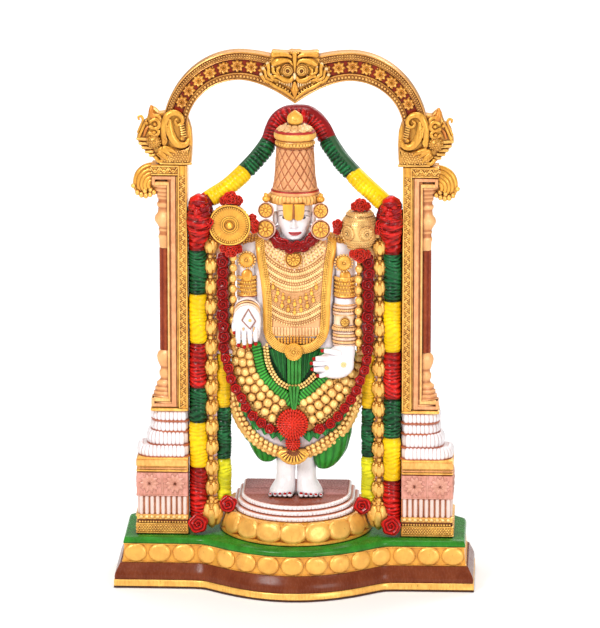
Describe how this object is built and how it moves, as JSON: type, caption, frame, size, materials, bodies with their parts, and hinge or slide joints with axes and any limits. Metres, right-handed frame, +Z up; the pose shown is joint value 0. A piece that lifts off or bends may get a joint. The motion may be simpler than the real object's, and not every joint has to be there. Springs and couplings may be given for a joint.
{
  "type": "vishnu figure",
  "caption": "Painted shrine figure of Vishnu on a lotus pedestal, framed by pillars and a banded arch with beast heads, draped with a thread garland, on a bow-fronted plinth",
  "frame": {"origin": "middle of the flat underside of the plinth", "axes": "+Z up, the figure faces -Y, +X to the viewer's right"},
  "size_m": [0.2018, 0.08, 0.305],
  "materials": {
    "plinth_paint": "hand-painted resin, gold, brown and green enamel with a brown wash",
    "pedestal_paint": "hand-painted resin, gold petals, white rings, brown top",
    "pillar_paint": "hand-painted resin, gold and peach with a brown wash, white rolls",
    "arch_paint": "hand-painted resin, gold with a maroon field",
    "garland_paint": "hand-painted resin, glossy red, green and yellow bands, gold buds",
    "figure_paint": "hand-painted resin, white skin, gold and peach ornaments, green and red cloth and flowers"
  },
  "bodies": {
    "root": {"plinth": "plinth_paint", "lotus_pedestal": "pedestal_paint", "left_pillar": "pillar_paint", "right_pillar": "pillar_paint", "arch": "arch_paint", "garland": "garland_paint", "figure": "figure_paint"}
  },
  "joints": []
}
